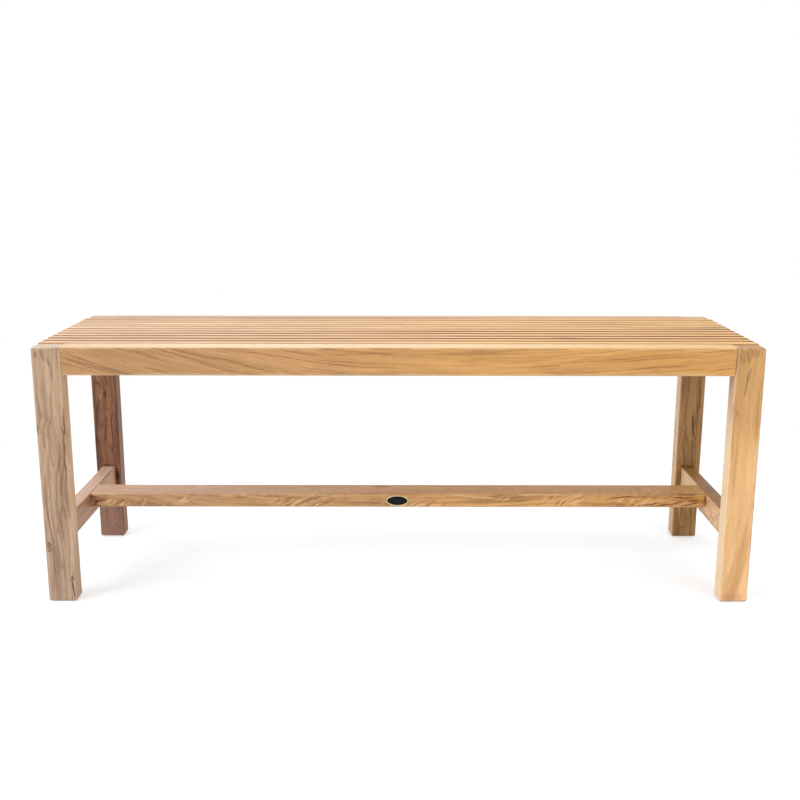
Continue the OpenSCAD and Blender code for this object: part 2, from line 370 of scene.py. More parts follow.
def stain_group():
    """A patch of another colour, with an edge that frays along the grain."""
    takes = {
        "Color": ("colour", paint("C09870")),
        "Board": ("vector", None),
        "Centre": ("vector", (0.0, 0.0, 0.0)),
        "Reach": ("vector", (0.01, 0.01, 0.05)),
        "Tint": ("colour", paint("806040")),
        "Amount": ("value", 0.5),
    }
    w, given, result = new_group("stain", "ShaderNodeTree", takes, {"Color": "colour"})
    away = w.vector("SUBTRACT", given["Board"], given["Centre"])
    share = w.vector("LENGTH", w.vector("DIVIDE", away, given["Reach"]))
    fray = w.times(w.noise(given["Board"], (220.0, 220.0, 20.0), detail=3.0), 1.3)
    mask = w.ramp(w.plus(share, fray), 0.75, 1.75, 1.0, 0.0)
    w.plug(w.mix(w.times(mask, given["Amount"]), given["Color"], given["Tint"]), result["Color"])
    return w.tree


def grain_line_group():
    """The mask of one line in the grain, from start to end: fullest in the middle, broken by the fibres."""
    takes = {
        "Board": ("vector", None),
        "Start": ("vector", (0.0, 0.0, 0.0)),
        "End": ("vector", (0.0, 0.0, 0.1)),
        "Width": ("value", 0.002),
    }
    w, given, result = new_group("grain_line", "ShaderNodeTree", takes, {"Mask": "value"})
    waver = w.sway(given["Board"], (90.0, 90.0, 45.0), w.times(given["Width"], 1.7))
    away = w.vector("SUBTRACT", w.vector("ADD", given["Board"], waver), given["Start"])
    whole = w.vector("SUBTRACT", given["End"], given["Start"])
    share = w.vector("DOT_PRODUCT", away, whole)
    share = w.math("DIVIDE", share, w.vector("DOT_PRODUCT", whole, whole), clamp=True)
    off = w.vector("SUBTRACT", away, w.scaled(whole, share))
    off = w.vector("LENGTH", w.vector("MULTIPLY", off, (1.0, 0.4, 1.0)))
    swell = w.times(share, w.minus(1.0, share), 2.6)
    reach = w.times(given["Width"], w.plus(swell, 0.35))
    mask = w.ramp(w.math("DIVIDE", off, reach), 0.05, 0.95, 1.0, 0.0)
    fibre = w.ramp(w.noise(given["Board"], (500.0, 500.0, 40.0)), 0.35, 0.6, 0.6, 1.1)
    w.plug(w.times(mask, fibre), result["Mask"])
    return w.tree


def curl_group():
    """Curly grain: short strokes that slant across a front face, pale in one mask and dark in the other."""
    takes = {
        "Board": ("vector", None),
        "Slant": ("value", 0.5),
        "Fineness": ("value", 1.0),
        "Seed": ("value", 0.0),
    }
    w, given, result = new_group("curl", "ShaderNodeTree", takes, {"Pale": "value", "Dark": "value"})
    drift = w.sway(given["Board"], (26.0, 26.0, 15.0), 30 * MM)
    x, y, z = w.split(w.vector("ADD", given["Board"], drift))
    cosine = w.math("COSINE", given["Slant"])
    sine = w.math("SINE", given["Slant"])
    across = w.plus(w.times(x, cosine), w.times(z, sine))
    along = w.minus(w.times(z, cosine), w.times(x, sine))
    place = w.scaled(w.join(across, w.plus(y, given["Seed"]), along), given["Fineness"])
    stroke = w.noise(place, (230.0, 60.0, 48.0), detail=1.5)
    where = w.ramp(w.noise(given["Board"], (30.0, 30.0, 11.0)), 0.40, 0.60)
    w.plug(w.times(w.ramp(stroke, 0.54, 0.68), where), result["Pale"])
    w.plug(w.times(w.ramp(stroke, 0.32, 0.46, 1.0, 0.0), where), result["Dark"])
    return w.tree


def worn_and_lit_edges_group():
    """The arrises of a box-shaped timber, where wear from hands and feet and a painted highlight lie."""
    takes = {
        "Board": ("vector", None),
        "Half size": ("vector", (0.02, 0.02, 0.2)),
        "Width": ("value", 0.005),
    }
    w, given, result = new_group("edge_wear", "ShaderNodeTree", takes, {"Mask": "value"})
    x, y, z = w.split(w.vector("SUBTRACT", given["Half size"], w.vector("ABSOLUTE", given["Board"])))
    # Of the ways in from the three nearest faces, the middle one says how near the next arris is.
    to_edge = w.minus(w.plus(x, y, z), w.lowest(x, y, z), w.highest(x, y, z))
    rub = w.ramp(w.noise(given["Board"], (70.0, 70.0, 24.0)), 0.3, 0.7, 0.5, 1.4)
    share = w.math("DIVIDE", to_edge, w.times(given["Width"], rub))
    w.plug(w.ramp(share, 0.25, 1.0, 1.0, 0.0), result["Mask"])
    return w.tree


def facing_group():
    """How squarely a surface faces one way: 0 from the side, 1 head on."""
    takes = {"Normal": ("vector", None), "Direction": ("vector", (0.0, 0.0, 1.0))}
    w, given, result = new_group("facing", "ShaderNodeTree", takes, {"Mask": "value"})
    w.plug(w.ramp(w.vector("DOT_PRODUCT", given["Normal"], given["Direction"]), 0.35, 0.92), result["Mask"])
    return w.tree


TEAK_GRAIN = teak_grain_group()
KNOT = knot_group()
STAIN = stain_group()
GRAIN_LINE = grain_line_group()
CURL = curl_group()
WORN_AND_LIT_EDGES = worn_and_lit_edges_group()
FACING = facing_group()


# -------------------------------------------------------------------------------------- teak, by effects
class Cut:
    """Where a timber is cut from the tree: its centre, its half size in board axes and its grain."""

    def __init__(self, node, grain_along, marked=False):
        low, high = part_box(node)
        self.centre = middle(node)
        self.grain = grain_along
        self.marked = marked
        half = (high - low) / 2
        order = {"X": (2, 1, 0), "Y": (0, 2, 1), "Z": (0, 1, 2)}[grain_along]
        self.half = Vector([half[axis] for axis in order])

    def board(self, w):
        """Board axes from Object coordinates, or from the places that a marked board carries with it."""
        angles = TURN_TO_BOARD[self.grain]
        place = w.carried("board") if self.marked else w.coordinates()
        centre = Vector() if self.marked else self.centre.copy()
        centre.rotate(Euler(angles))
        inputs = {"Vector": place, "Location": -centre, "Rotation": angles}
        return w.out("ShaderNodeMapping", inputs)


class Teak:
    """The teak of one timber, made up effect by effect.

    Places and lengths are millimetres in board axes, from the middle of the timber. Tints are sRGB codes, or
    what between() gives.
    """

    def __init__(self, name, cut):
        self.material, self.w, self.shader = new_material(name)
        self.cut = cut
        self.place = cut.board(self.w)
        self.board = self.place
        self.normal = self.w.coordinates("Normal")
        self.colour = None
        self.height = None
        self.rough = None

    def along(self):
        """0 at the low end of the timber and 1 at the high end."""
        z = self.w.split(self.place)["Z"]
        return self.w.ramp(z, -self.cut.half.z, self.cut.half.z, soft=False)

    def bend(self, path):
        """Bends the grain: pairs of a share of the length and how far across the grain has moved."""
        reach = max(abs(move) for share, move in path)
        points = [(share, 0.5 + 0.5 * move / reach) for share, move in path]
        share_moved = self.w.minus(self.w.curve(self.along(), points), 0.5)
        move = self.w.join(self.w.times(share_moved, 2 * reach * MM))
        self.board = self.w.vector("SUBTRACT", self.board, move)

    def knot(self, centre, radius, bulge):
        """Swirls the grain round a place, and gives the mask of its heart."""
        inputs = {"Board": self.board, "Centre": metres(centre), "Radius": radius * MM, "Bulge": bulge}
        knot = self.w.group(KNOT, inputs)
        self.board = knot["Board"]
        return knot["Heart"]

    def grow(self, pale, dark, vein, band, pith, ring_gap, wander, ripple=1.0, **values):
        """Lays the grain itself. The other values are inputs of the grain group."""
        inputs = {"Board": self.board, "Pale": paint(pale), "Dark": paint(dark), "Vein": paint(vein)}
        inputs["Band"] = paint(band)
        inputs["Pith"] = metres(pith)
        inputs["Ring gap"] = ring_gap * MM
        inputs["Wander"] = wander * MM
        inputs["Ripple"] = ripple * MM
        for name, value in values.items():
            inputs[name.capitalize().replace("_", " ")] = value
        grain = self.w.group(TEAK_GRAIN, inputs)
        self.colour = grain["Color"]
        self.height = grain["Height"]
        self.rough = grain["Rough"]

    def lay(self, mask, tint, amount):
        """Lays a tint over the colour, as strongly as the mask and the amount say."""
        self.colour = self.w.mix(self.w.times(mask, amount), self.colour, tone(tint))

    def between(self, low_tint, high_tint, start=0.0, stop=1.0):
        """A tint that goes from one to the other between two shares of the length."""
        share = self.w.ramp(self.along(), start, stop)
        return self.w.mix(share, tone(low_tint), tone(high_tint))

    def fade(self, low_tint, high_tint, start=0.0, stop=1.0):
        """Multiplies by a tint that changes from one end to the other."""
        tint = self.between(low_tint, high_tint, start, stop)
        self.colour = self.w.mix(1.0, self.colour, tint, blend="MULTIPLY")

    def carry_tint(self):
        """Multiplies by the tint that a marked board carries with it."""
        self.colour = self.w.mix(1.0, self.colour, self.w.carried("tint", "Color"), blend="MULTIPLY")

    def wash(self, tint, amount, start, stop):
        """Calms the low end with one flat tint, which fades out between two shares of the length."""
        self.lay(self.w.ramp(self.along(), start, stop, 1.0, 0.0), tint, amount)

    def face(self, side, tint, amount):
        """Lays another tint on what faces one way, most often as painted light or painted shade on a side or
        a top.
        """
        inputs = {"Normal": self.normal, "Direction": DIRECTION[side]}
        self.lay(self.w.group(FACING, inputs)["Mask"], tint, amount)

    def end_grain(self, tint="8C7460", amount=0.55):
        """Lays another tint on both ends."""
        facing_ends = self.w.vector("ABSOLUTE", self.normal)
        inputs = {"Normal": facing_ends, "Direction": GRAIN_DIRECTION[self.cut.grain]}
        self.lay(self.w.group(FACING, inputs)["Mask"], tint, amount)

    def on_face(self, side, across, along):
        """A place on the front, or on the top of a timber whose grain runs along X, in metres."""
        half = self.cut.half
        spots = {"front": (across * MM, -half.y), "top": (-half.x, across * MM)}
        return (*spots[side], along * MM)

    def lines(self, marks, tint, amount, side="front"):
        """Draws lines on one face. A mark is its start, its end and its width, and places are across and
        along the face from its middle."""
        masks = []
        for start, end, width in marks:
            inputs = {"Board": self.place, "Width": width * MM}
            inputs["Start"] = self.on_face(side, *start)
            inputs["End"] = self.on_face(side, *end)
            masks.append(self.w.group(GRAIN_LINE, inputs)["Mask"])
        self.lay(self.w.highest(*masks), tint, amount)

    def stain(self, centre, reach, tint, amount, place=None):
        """Stains a patch of the timber, or of the place whose board axes are given."""
        inputs = {"Centre": metres(centre), "Reach": metres(reach), "Tint": paint(tint), "Amount": amount}
        inputs["Color"] = self.colour
        inputs["Board"] = place or self.place
        self.colour = self.w.group(STAIN, inputs)["Color"]

    def curl(self, pale, dark, amount, slant=0.5, fineness=1.0, seed=0.0):
        """Lays the short slanting strokes of curly grain over the colour."""
        inputs = {"Board": self.place, "Slant": slant, "Fineness": fineness, "Seed": seed}
        curl = self.w.group(CURL, inputs)
        self.lay(curl["Pale"], pale, amount)
        self.lay(curl["Dark"], dark, amount)

    def painted_foot_shade(self, tint, amount):
        """Darkens the last few millimetres over the floor: painted shade where a foot meets it."""
        z = self.w.split(self.place)["Z"]
        foot = -self.cut.half.z
        self.lay(self.w.ramp(z, foot, foot + 3.5 * MM, 1.0, 0.0), tint, amount)

    def pale_worn_and_lit_edges(self, tint="F0D2AE", amount=0.15):
        """Pales the arrises, as wear from hands and feet and as a painted highlight."""
        inputs = {"Board": self.place, "Half size": self.cut.half, "Width": 5 * MM}
        self.lay(self.w.group(WORN_AND_LIT_EDGES, inputs)["Mask"], tint, amount)

    def shade_gaps(self, tint, least, most):
        """Painted shade on a slat's sides and arrises, which look into the gaps between slats, and then on
        its top beside them, from least in one place to most in another."""
        w = self.w
        sideways = w.math("ABSOLUTE", w.split(self.normal)["Y"])
        off_middle = w.math("ABSOLUTE", w.split(self.place)["Y"])
        beside = w.ramp(off_middle, self.cut.half.y - 5 * MM, self.cut.half.y - 1 * MM, 0.0, 0.75)
        mask = w.highest(w.ramp(sideways, 0.06, 0.40), beside)
        gap_shade_strength = w.ramp(w.noise(self.board, (20.0, 20.0, 2.2)), 0.35, 0.6, least, most)
        self.lay(mask, tint, w.times(gap_shade_strength, w.carried("shade", "Fac")))

    def done(self, sheen=0.5):
        """Wires the effects to the shader and returns the material. Late wood and fibres are the roughest."""
        smoothest = 0.44
        roughest = 0.60
        self.w.plug(self.colour, self.shader["Base Color"])
        self.w.plug(self.w.ramp(self.rough, 0.1, 0.8, smoothest, roughest), self.shader["Roughness"])
        self.shader["Specular IOR Level"].default_value = sheen
        add_bump(self.w, self.shader, self.height, 0.3, 0.15)
        return self.material


# ------------------------------------------------------------------------------------ teak, by timber
def front_left_leg_teak():
    """Greyed teak that swirls round two knots, scarred down both arrises and split at the foot."""
    teak = Teak("teak_front_left_leg", Cut("leg_front_left", "Z"))
    teak.bend([(0, 0), (0.2, 3), (0.45, -4), (0.62, 6), (0.72, 0), (1, 2)])
    teak.knot((-24, -16, 112), 17, 0.75)
    low_heart = teak.knot((-19, -16, -121), 9, 0.6)
    teak.grow("D8BA9C", "8C6A50", "7A5438", "A2836E", seed=1.3, pith=(-90, 20, 0), ring_gap=8,
              sharpness=2.0, rings=0.45, wander=18, ripple=4, contrast=0.85, vein_amount=0.45,
              band_amount=0.55)
    teak.fade("FCFCFF", "E9E6E4", 0.1, 0.7)
    # Painted light and shade on the inner side: darker at the foot and towards the top, paler between.
    inner = teak.between("BC9874", "FFD8AA", 0.15, 0.42)
    teak.face("right", teak.between(inner, "E0B27A", 0.62, 0.85), 0.5)
    teak.stain((14, -16, -145), (10, 20, 90), "A58468", 0.5)
    teak.stain((-9, -16, 149), (7, 20, 16), "9C8276", 0.5)
    teak.stain((-12, -16, 108), (10, 20, 15), "8F7468", 0.6)
    teak.stain((24, -14, 95), (4, 20, 100), "B08A54", 0.6)
    teak.stain((-21, -16, -122.5), (7, 20, 9), "8E6656", 0.75)
    teak.lay(low_heart, "86584A", 0.7)
    teak.end_grain("DCC6AE", 0.65)
    teak.pale_worn_and_lit_edges("E8D2BA", 0.22)
    curls = [
        ((-15, 215), (-14, 203), 3.2), ((-20, 208), (-13, 205), 2.8),
        ((-5, 218), (-3, 199), 4.2), ((3, 206), (4, 190), 3.2),
    ]
    teak.lines(curls, "64391F", 0.6)
    swirls = [
        ((0, 106), (-10, 97), 3.6), ((-10, 98), (-13, 84), 4.2), ((-13, 86), (-12, 50), 5.0),
        ((4, 104), (-4, 88), 4.2), ((-4, 88), (-4, 50), 5.4), ((-4, 64), (-1, 20), 6.4),
        ((7, 197), (9, 165), 4.0), ((-1, -80), (-1, -106), 4.0), ((8, -48), (9, -62), 5.0),
        ((2, -150), (2, -164), 4.2), ((-7, 40), (-10, -40), 4.4), ((13, 60), (10, -30), 5.0),
        ((16, 20), (17, -60), 4.0), ((5, -60), (9, -110), 4.4), ((-16, -20), (-15, -90), 4.0),
    ]
    teak.lines(swirls, "764A2C", 0.45)
    teak.lines([((-1, 130), (-3, 104), 3.4), ((8, 100), (12, 40), 3.0)], "C89A62", 0.5)
    scars = [
        ((-22, 92), (-21, 77), 3.0), ((23, 120), (22, 74), 2.4), ((22, 90), (22, 72), 3.4),
        ((21, 76), (20, 10), 2.4), ((20.5, 40), (20, -12), 3.0),
        ((-20, -112), (-13, -119), 2.6), ((-20, -132), (-12, -126), 2.8),
    ]
    teak.lines(scars, "5A2A08", 0.8)
    teak.lines([((19.5, -10), (21, -70), 3.0), ((19, 70), (17, 20), 3.0)], "8A5A34", 0.5)
    teak.lines([((19, -196), (21, -218), 2.2), ((18, -176), (18.5, -190), 2.6)], "5E2414", 0.75)
    teak.painted_foot_shade("5E3C28", 0.75)
    return teak.done()


def front_right_leg_teak():
    """Golden teak, straighter than the left leg's, with hairline checks near its top."""
    teak = Teak("teak_front_right_leg", Cut("leg_front_right", "Z"))
    teak.bend([(0, -20), (0.13, -8), (0.3, 0), (0.55, 4), (0.8, 2), (1, 12)])
    heart = teak.knot((-24, -16, 112), 14, 0.7)
    teak.grow("FFD098", "DEA868", "C48E54", "E4B27A", seed=2.6, pith=(120, 50, 0), ring_gap=9,
              sharpness=2.0, rings=0.35, wander=14, ripple=2, contrast=0.7, vein_amount=0.3,
              band_amount=0.4)
    teak.fade("FFFFFF", "D7CFBB", 0.32, 0.85)
    # Painted light on the inner side, which faces the key lamp, and painted shade on it towards the top,
    # under the rail.
    teak.face("left", teak.between("FFE6BE", "CCA280", 0.58, 0.90), 0.95)
    teak.lay(heart, "A8733F", 0.35)
    teak.stain((-23, -18, 121), (6, 12, 10), "B07C48", 0.55)
    fan = [
        ((-17, 210), (-16, 197), 2.4), ((-11, 207), (-12, 196), 2.2), ((-6, 212), (-5, 199), 2.4),
        ((-2, 209), (-2, 198), 2.0),
    ]
    teak.lines(fan, "8A5018", 0.8)
    hairs = [((1.2, 189), (-2.5, 165), 1.2), ((-2.8, 186), (-5.2, 150), 1.3), ((-5.2, 155), (-7.6, 140), 1.2)]
    teak.lines(hairs, "7C4614", 0.8)
    teak.lines([((17, 172), (19, 60), 3.4), ((-12, 60), (-14, -30), 4.0)], "C08A4C", 0.4)
    slant = [
        ((3, -158), (-2, -214), 3.0), ((12, -150), (3, -205), 2.8), ((-12, -168), (-18, -200), 2.6),
        ((-6, -150), (-12, -196), 2.8), ((14, -70), (8, -120), 2.6), ((2, -60), (-3, -110), 2.6),
    ]
    teak.lines(slant, "C4915C", 0.45)
    teak.lines([((-23.4, 128), (-23.4, 88), 3.4), ((-22, 118), (-13, 108), 4.4)], "A0652F", 0.45)
    teak.stain((-6, -16, -212), (24, 20, 10), "C69672", 0.6)
    teak.stain((0, -17, 214), (30, 20, 10), "A87C48", 0.6)
    teak.end_grain("AA8058", 0.75)
    teak.pale_worn_and_lit_edges("FBE2C0", 0.35)
    teak.lines([((-23.2, 234), (-23.2, 178), 2.2)], "6E3A08", 0.75)
    teak.lines([((-32, 220), (34, 220), 2.6)], "A8763E", 0.75)
    teak.lines([((-21.5, 184), (-21.5, 30), 1.8)], "AE7A46", 0.7)
    # Painted shade along the right arris.
    teak.lines([((24, 215), (24, 40), 3.0), ((24, 80), (24, -215), 3.0)], "7E5028", 0.8)
    teak.painted_foot_shade("9A6C44", 0.6)
    return teak.done(sheen=0.4)


def back_left_leg_teak():
    """The darkest teak, umber, curled and knotted, with the stretcher's joint line across it."""
    teak = Teak("teak_back_left_leg", Cut("leg_back_left", "Z"))
    heart = teak.knot((2, -16, 72), 9, 0.7)
    teak.grow("A67E68", "4E2C20", "3A1E14", "785240", seed=3.9, pith=(30, 120, 0), ring_gap=6,
              sharpness=2.5, rings=0.45, wander=16, ripple=5, contrast=0.85, vein_amount=0.65,
              band_amount=0.5)
    teak.fade("FFFFFF", "EAD6BE", 0.2, 0.4)
    teak.wash("967464", 0.6, 0.21, 0.25)
    teak.curl("AE8872", "3E2218", 0.5, slant=0.08, fineness=1.3, seed=0.7)
    # Painted shade on the right side, which faces away from the key lamp.
    teak.face("right", "8A5A34", 0.75)
    teak.stain((-10, -16, 94), (10, 20, 9), "3E231B", 0.75)
    # Painted shade, with a dark stain, on the front face beside the stretcher's end.
    teak.stain((17, -16, -96), (9, 20, 24), "321A12", 0.95)
    teak.lay(heart, "3A221A", 0.8)
    marks = [
        ((-11, 64), (-20, 0), 4.6), ((-20, 4), (-22, -60), 4.4), ((9, -38), (9, -47), 4.0),
        ((22, 90), (22, -90), 3.0), ((-16, -72.5), (16, -72.5), 3.0), ((4, 110), (8, 86), 3.0),
        ((2, 40), (-4, -30), 3.4), ((12, 50), (10, -20), 3.0),
    ]
    teak.lines(marks, "2E140A", 0.65)
    teak.lines([((-18, 110), (-4, 90), 3.0), ((-2, 82), (-10, 60), 3.4)], "BE967C", 0.5)
    outline = [
        ((-23, -60), (-23, -215), 2.6), ((22.5, -100), (22.5, -215), 2.4),
        ((-8, -150), (-9, -200), 2.4),
    ]
    teak.lines(outline, "5A3026", 0.6)
    teak.end_grain("CDAE94", 0.9)
    teak.pale_worn_and_lit_edges("A88770", 0.15)
    teak.painted_foot_shade("442820", 0.7)
    return teak.done(sheen=0.35)


def back_right_leg_teak():
    """Olive brown teak, curled, with a check half way down."""
    teak = Teak("teak_back_right_leg", Cut("leg_back_right", "Z"))
    teak.grow("B48A58", "725230", "4E381C", "8E6A42", seed=5.2, pith=(-50, 140, 0), ring_gap=6,
              sharpness=2.5, rings=0.4, wander=10, ripple=2.5, contrast=0.75, vein_amount=0.5,
              band_amount=0.35)
    teak.fade("F4F2EE", "FFFFFF", 0.1, 0.5)
    # Painted light on the inner side, which faces the key lamp.
    teak.face("left", teak.between("F6D2AA", "FFE0BC", 0.25, 0.45), 0.9)
    teak.curl("C49C6C", "50300E", 0.45, slant=0.05, fineness=1.5, seed=0.4)
    streaks = [
        ((-18, 160), (-19, 40), 2.8), ((-8, 170), (-9, 60), 2.6), ((10, 150), (9, 30), 2.8),
        ((4, 40), (6, -10), 3.0), ((-19, -80), (-19, -130), 2.6),
    ]
    teak.lines(streaks, "4A2C0C", 0.3)
    teak.lines([((2.5, 32), (4, 12), 1.8), ((3.8, 16), (5.4, -8), 2.4)], "2E1A08", 0.85)
    teak.lines([((-15, -71.5), (-2, -73), 2.6), ((-6, -72), (14, -76), 3.2)], "38200A", 0.75)
    teak.lines([((-15, -148), (-9, -186), 2.8), ((-9, -186), (-4, -200), 2.6)], "C49E6C", 0.55)
    teak.end_grain("D6B080", 0.9)
    teak.pale_worn_and_lit_edges("C8A47C", 0.2)
    teak.painted_foot_shade("4A3016", 0.7)
    return teak.done(sheen=0.35)


def front_rail_teak():
    """Tan teak whose dark growth lines run down from the left end and up to the right one."""
    teak = Teak("teak_front_rail", Cut("rail_front", "X"))
    path = [
        (0, -120), (0.1, -84), (0.25, -37), (0.42, -6), (0.55, 0), (0.67, 0),
        (0.78, -6), (1, -28),
    ]
    teak.bend(path)
    teak.grow("E6AE75", "AE794A", "895A32", "C58F58", seed=6.5, pith=(-300, 30, 0), ring_gap=13,
              sharpness=8.0, rings=0.7, wander=12, ripple=2.5, contrast=0.8, vein_amount=0.5,
              band_amount=0.3)
    teak.fade("DDE2EA", "FFFFDA")
    # Painted sheen on the top, and a painted highlight along the back arris of the top.
    paler = teak.between("E8C3A0", "F4D6B0", 0.0, 0.25)
    teak.face("top", teak.between(paler, "EEBC70", 0.35, 1.0), 0.85)
    teak.lines([((14, -560), (14, 120), 4.5), ((14, -100), (14, 560), 6.5)], "FFF4CE", 0.55, side="top")
    left = [
        ((-17, -548), (5, -496), 2.6), ((5, -525), (22, -462), 2.2), ((-19, -388), (11, -284), 2.8),
        ((-20, -440), (-4, -390), 2.4), ((-21, -283), (7, -88), 2.6), ((-1, -283), (21, -194), 3.4),
        ((8, -420), (22, -370), 2.4), ((-18, -190), (-8, -120), 2.2), ((-6, -350), (20, -270), 2.2),
    ]
    teak.lines(left, "7C4A1E", 0.5)
    right = [
        ((-13, 60), (-13, 200), 2.2), ((0, 310), (-15, 491), 2.6), ((4, 310), (-11, 491), 2.0),
        ((-15, 480), (-20, 556), 2.4), ((-16, 328), (-23, 393), 2.2), ((16, 508), (10, 552), 2.8),
        ((12, 380), (6, 470), 1.8),
    ]
    teak.lines(right, "86501E", 0.5)
    teak.end_grain()
    teak.pale_worn_and_lit_edges("F8DEB4", 0.3)
    return teak.done()


def back_rail_teak():
    """Pale teak, with painted shade on its front face and along both edges of its top."""
    teak = Teak("teak_back_rail", Cut("rail_back", "X"))
    teak.grow("E6C298", "C0946A", "A0744A", "CCA47C", seed=7.8, pith=(140, -30, 0), ring_gap=8,
              wander=9, contrast=0.7, vein_amount=0.4)
    teak.face("top", teak.between("C8AA90", "CC9E6A"), 0.85)
    # Painted shade on the front face, which looks into the gap behind the last slat, and along both edges of
    # the top.
    teak.face("front", "82502C", 0.6)
    teak.lines([((-14, -640), (-14, 160), 5.0)], "82502C", 0.7, side="top")
    teak.lines([((15.5, -240), (15.5, 700), 4.0)], "80602E", 0.65, side="top")
    teak.end_grain()
    teak.pale_worn_and_lit_edges()
    return teak.done()


def cross_rail_teak():
    """Plain tan teak for the four rails under the slats."""
    teak = Teak("teak_cross_rail", Cut("cross_rail_left", "Y"))
    teak.grow("D2A478", "A4784C", "825A3A", "B88C62", seed=9.1, pith=(50, 100, 0), ring_gap=6,
              wander=9, contrast=0.8, vein_amount=0.4)
    teak.end_grain()
    return teak.done()


def long_stretcher_teak():
    """Pinkish teak, curled and streaked, with its joint lines at both ends."""
    teak = Teak("teak_long_stretcher", Cut("long_stretcher", "X"))
    path = [
        (0, -30), (0.14, -12), (0.3, 12), (0.45, 18), (0.6, 14), (0.8, 6),
        (0.92, 12), (1, 30),
    ]
    teak.bend(path)
    teak.grow("E9B784", "A47446", "825430", "C4905E", seed=10.4, pith=(80, 60, 0), ring_gap=7,
              sharpness=2.5, rings=0.4, wander=14, ripple=5, contrast=0.85, vein_amount=0.5,
              band_amount=0.3)
    teak.fade("E9ECF2", "FFFAD0")
    teak.curl("F0CA98", "7E4E24", 0.7, slant=0.5)
    teak.face("top", teak.between("E8C7B2", "C6985E", 0.05, 0.6), 0.65)
    pale = [((-13, 80), (-1, 206), 3.0), ((-11, 222), (-11, 262), 2.4), ((-11, 270), (-10, 306), 2.4)]
    teak.lines(pale, "EBC798", 0.6)
    teak.stain((0, -28, -556), (12, 8, 12), "8A6440", 0.7)
    dark = [
        ((-12, 480), (-12, 560), 2.6), ((-12, 561), (9, 561.5), 2.6), ((10, 473), (6.5, 500), 2.4),
        ((6.5, 500), (1.5, 524), 2.2), ((0, 528), (0.5, 550), 2.2), ((9, 519), (3.6, 552), 2.2),
        ((10, 440), (4, 480), 2.2), ((-6, 500), (-7, 545), 2.0),
        ((-12, -561), (-4, -561.5), 3.4), ((-8, -562), (-6, -555), 3.0), ((6, -557), (-3, -540), 3.0),
        ((8, -561), (10.5, -545), 4.2), ((11, -524), (0, -502), 2.8), ((-3, 380), (-9, 430), 2.2),
    ]
    teak.lines(dark, "4E2408", 0.9)
    teak.lines([((-26, -155), (-26, 60), 2.4), ((20, -50), (15, -16), 7.0)], "7E5432", 0.5, side="top")
    teak.end_grain()
    teak.pale_worn_and_lit_edges("E4C4A0", 0.15)
    return teak.done()


def left_stretcher_teak():
    """Pinkish teak, paler on top, with painted light and shade on its inner side."""
    teak = Teak("teak_left_stretcher", Cut("end_stretcher_left", "Y"))
    teak.grow("D2AA8C", "8C6248", "704A32", "B08A6E", seed=11.7, pith=(100, 50, 0), ring_gap=7,
              wander=9, ripple=2, contrast=0.9, vein_amount=0.5)
    teak.face("top", "E6C8B6", 0.65)
    # Painted light on the inner side towards the back leg, and painted shade towards the front.
    teak.face("right", teak.between("A0683C", "CA9A76", 0.3, 0.9), 0.6)
    teak.end_grain()
    teak.pale_worn_and_lit_edges()
    streaks = [((-9, 140), (-7, 60), 3.0), ((-2, 142), (-1, 80), 2.4), ((4, 140), (3, 50), 2.6)]
    teak.lines(streaks, "8A6450", 0.55)
    teak.lines([((12, 142), (12, 40), 2.6)], "64402C", 0.75)
    return teak.done()


def right_stretcher_teak():
    """Olive teak, dark on top and curled on its inner side, which has painted light."""
    teak = Teak("teak_right_stretcher", Cut("end_stretcher_right", "Y"))
    teak.grow("EEC49A", "B08258", "8A6040", "CFA078", seed=13.0, pith=(100, 50, 0), ring_gap=7,
              wander=9, ripple=3, contrast=0.85, vein_amount=0.5)
    # Painted light on the inner side, which faces the key lamp.
    teak.face("left", teak.between("F0BE8A", "FFE3B4"), 0.6)
    teak.curl("FFDDB4", "98602E", 0.75, slant=0.6, fineness=1.7, seed=0.3)
    teak.curl("FFDCB8", "A86A4A", 0.6, slant=-0.4, fineness=1.7, seed=1.9)
    teak.face("top", teak.between("825204", "8C6218", 0.1, 0.6), 0.85)
    teak.stain((0, -22.5, 0), (14, 10, 30), "6E4C3C", 0.6)
    teak.end_grain()
    teak.pale_worn_and_lit_edges("D8B088", 0.15)
    streaks = [((-6, 140), (-4, 70), 3.0), ((3, 130), (5, 40), 2.8), ((8, -20), (9, -90), 2.6)]
    teak.lines(streaks, "5E3A10", 0.5)
    return teak.done()


def slat_teak(name, pale, dark, vein, band, seed):
    """Teak for the slats of one kind. Each slat carries its place and its own tint with it."""
    teak = Teak(name, Cut("slat_06", "X", marked=True))
    teak.board = teak.w.vector("ADD", teak.board, teak.w.carried("shift"))
    teak.grow(pale, dark, vein, band, seed=seed, pith=(30, 100, 0), ring_gap=7, wander=10,
              contrast=0.6, vein_amount=0.3)
    teak.carry_tint()
    teak.fade("F8F3F6", "FFF3C8")
    # Painted shade in the gaps between slats, weaker towards the left end and more orange towards the right.
    least = teak.w.ramp(teak.along(), 0.1, 0.8, 0.40, 0.85)
    most = teak.w.ramp(teak.along(), 0.1, 0.8, 0.85, 1.00)
    teak.shade_gaps(teak.between("82502C", "883E06"), least, most)
    seat = Cut("slat_06", "X").board(teak.w)
    # Three patches lie on the seat as a whole: a brown one at the front, right of the middle, and two at
    # the right end.
    teak.stain((-10, -86, 288), (12, 8, 50), "6E2E14", 0.7, seat)
    teak.stain((-10, 20, 550), (14, 16, 80), "84724A", 0.5, seat)
    teak.stain((-10, 36, 575), (8, 6, 45), "4A2A14", 0.85, seat)
    teak.end_grain("B08A68", 0.4)
    return teak.done(sheen=0.3)


